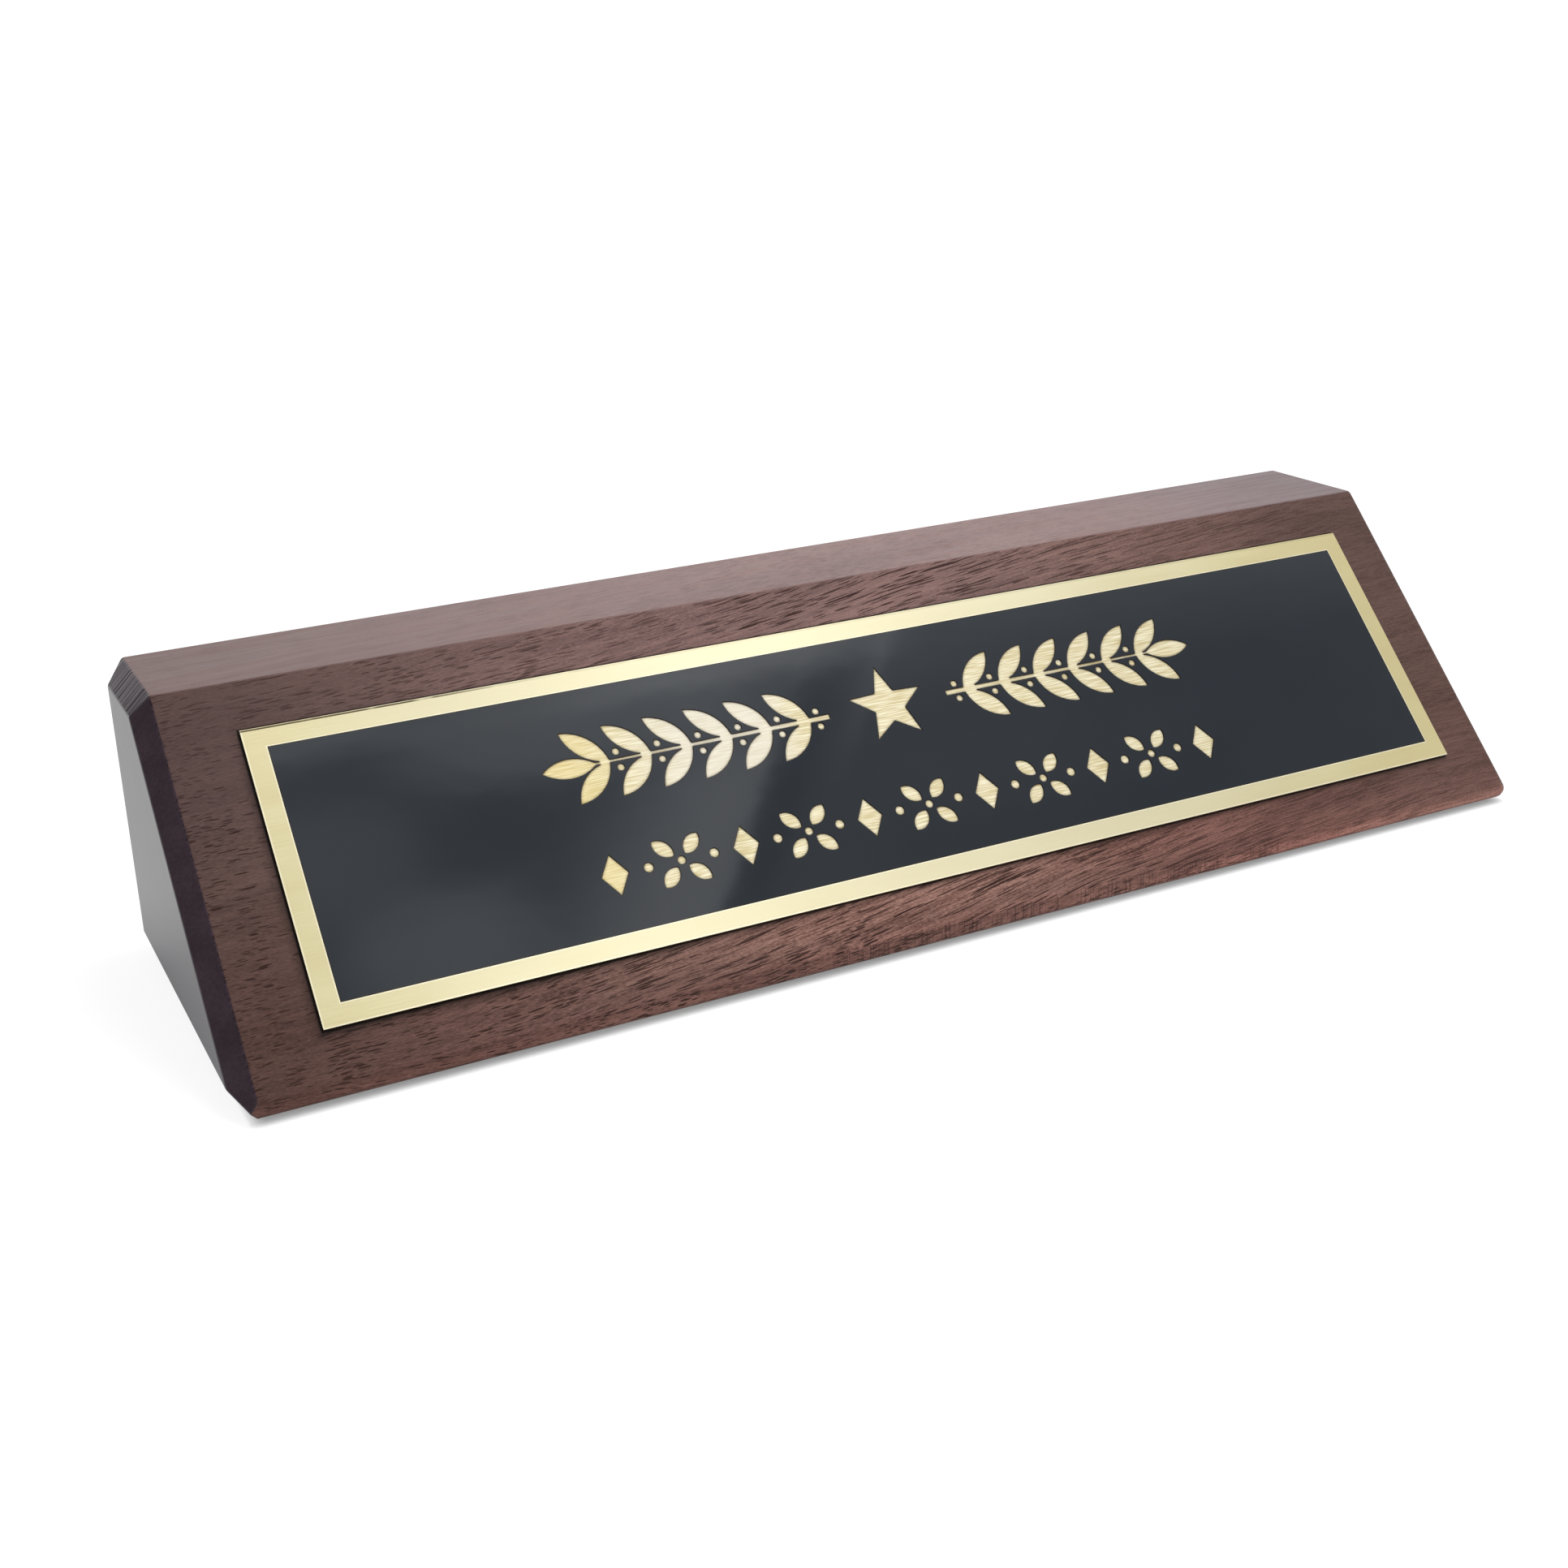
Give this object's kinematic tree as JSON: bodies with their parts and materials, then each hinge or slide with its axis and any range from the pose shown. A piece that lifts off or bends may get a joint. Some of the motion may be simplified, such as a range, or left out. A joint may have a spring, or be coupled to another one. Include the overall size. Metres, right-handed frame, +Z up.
{
  "type": "desk name plaque",
  "caption": "Free-standing walnut desk wedge. Its sloping front carries a thin brass plate with a black enamelled, engraved field, and felt pads keep its base off the desk.",
  "frame": {"origin": "bottom centre: under the middle of the block, on the surface that the felt pads stand on", "axes": "+X to the right along the length, seen from the front; +Y to the back, so the sloping front faces -Y; +Z up"},
  "size_m": [0.254, 0.072, 0.0535],
  "materials": {
    "walnut": "satin lacquer over open-pored walnut",
    "tape": "matte adhesive foam",
    "brass": "satin, brushed along the length",
    "enamel": "gloss black lacquer",
    "felt": "black wool felt"
  },
  "bodies": {
    "root": {"walnut_block": "walnut", "mounting_tape": "tape", "brass_plate": "brass", "black_enamel": "enamel", "foot_front_left": "felt", "foot_front_right": "felt", "foot_rear_left": "felt", "foot_rear_right": "felt"}
  },
  "joints": []
}
